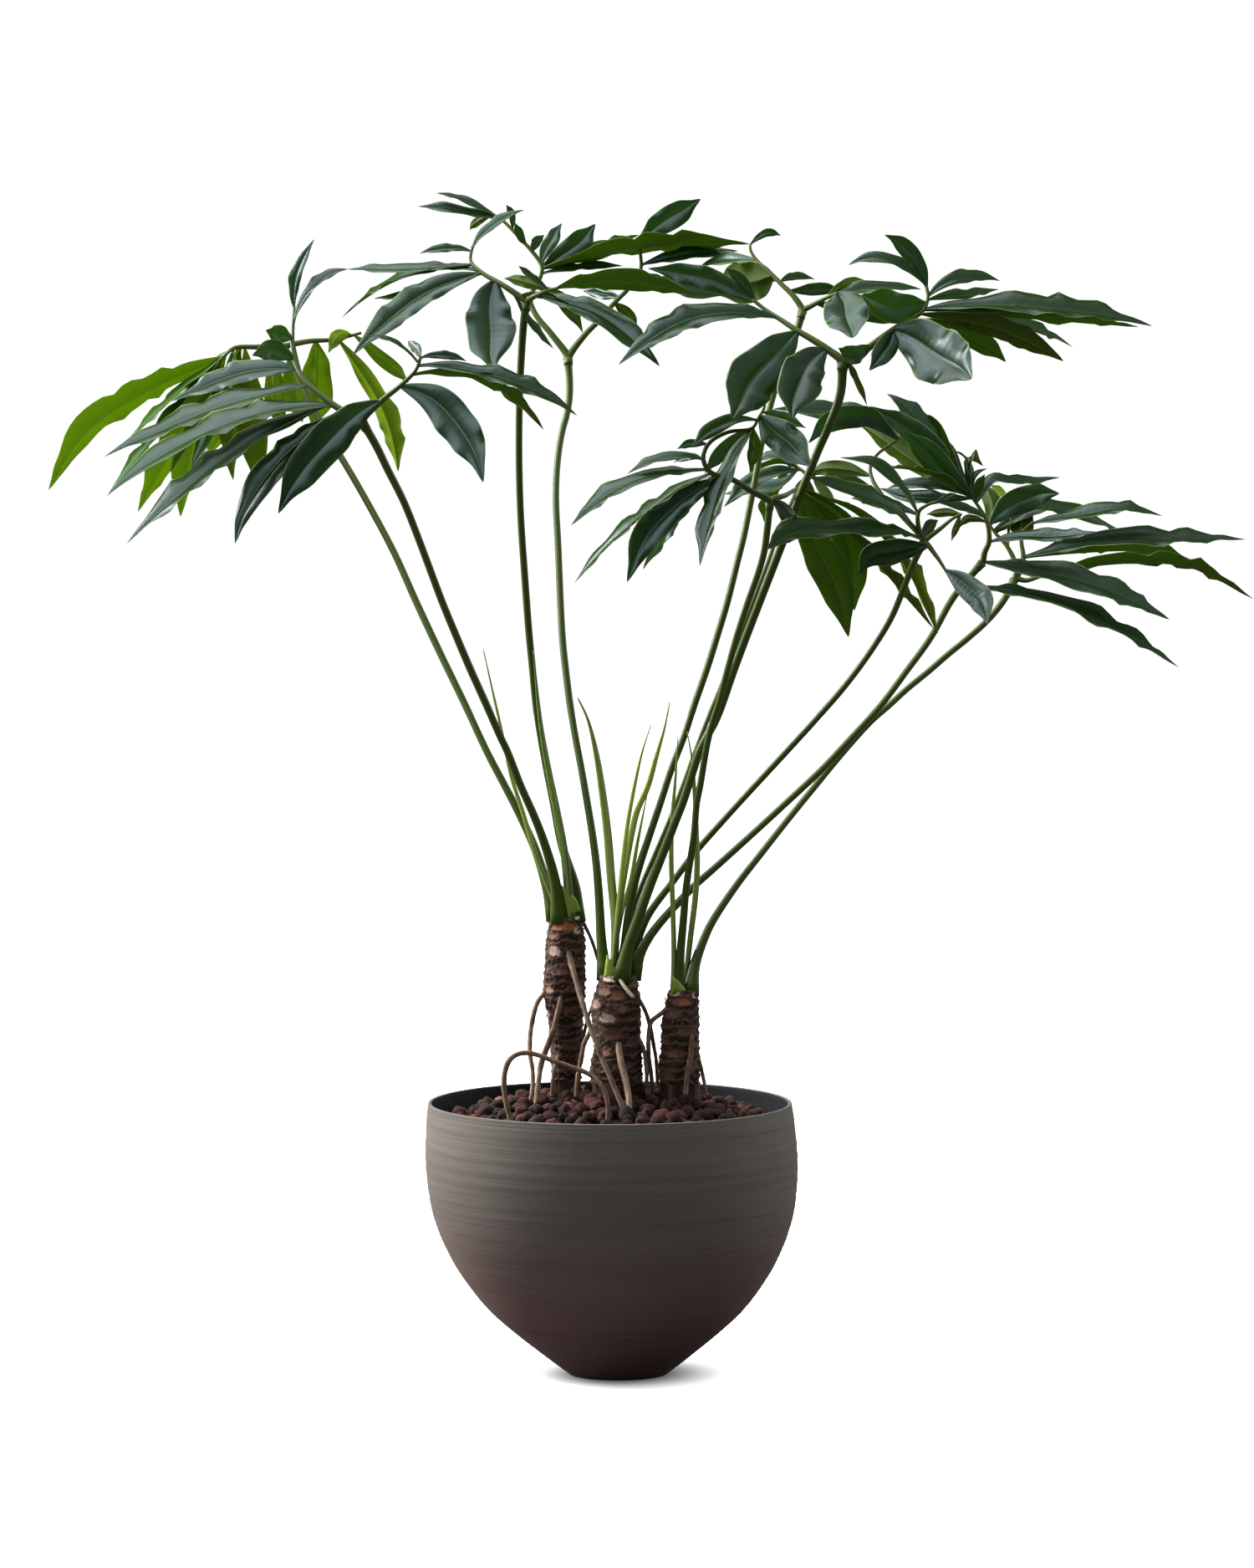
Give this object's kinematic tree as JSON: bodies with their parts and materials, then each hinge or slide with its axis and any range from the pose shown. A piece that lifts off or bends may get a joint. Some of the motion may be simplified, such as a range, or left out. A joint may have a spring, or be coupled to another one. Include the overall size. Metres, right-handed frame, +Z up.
{
  "type": "potted philodendron",
  "caption": "Potted tree philodendron: long-stalked fronds of narrow drooping leaflets rise from scarred trunks that stand in lava gravel in a tapered stoneware bowl.",
  "frame": {"origin": "centre of the pot's flat foot, on the surface that it stands on", "axes": "+Z up; +X to the right and +Y away, as the plant is seen from its front"},
  "size_m": [0.9951, 0.4716, 0.952],
  "materials": {
    "stoneware": "unglazed, wheel-thrown, matt warm grey-brown with fine throwing lines",
    "lava_gravel": "rough pitted lava stones, red-brown to near black",
    "bark": "rough scaly bark in ragged rings, with smooth pale leaf scars",
    "root": "dry woody aerial root, matt tan-brown",
    "leaf": "glossy leathery leaf, dark green above and olive below",
    "young_leaf": "smooth satin sheath, lime to yellow-green"
  },
  "bodies": {
    "root": {"pot": "stoneware", "gravel": "lava_gravel", "trunk_left": "bark", "trunk_middle": "bark", "trunk_right": "bark", "looped_root": "root", "frond_01": "leaf", "frond_02": "leaf", "frond_03": "leaf", "frond_04": "leaf", "frond_05": "leaf", "frond_06": "leaf", "frond_07": "leaf", "frond_08": "leaf", "frond_09": "leaf", "frond_10": "leaf", "frond_11": "leaf", "spike_left_back": "young_leaf", "spike_left_front": "young_leaf", "spike_middle_left": "young_leaf", "spike_middle_pale": "young_leaf", "spike_middle_tall": "young_leaf", "spike_middle_short": "young_leaf", "spike_right_left": "young_leaf", "spike_right_back": "young_leaf"}
  },
  "joints": []
}
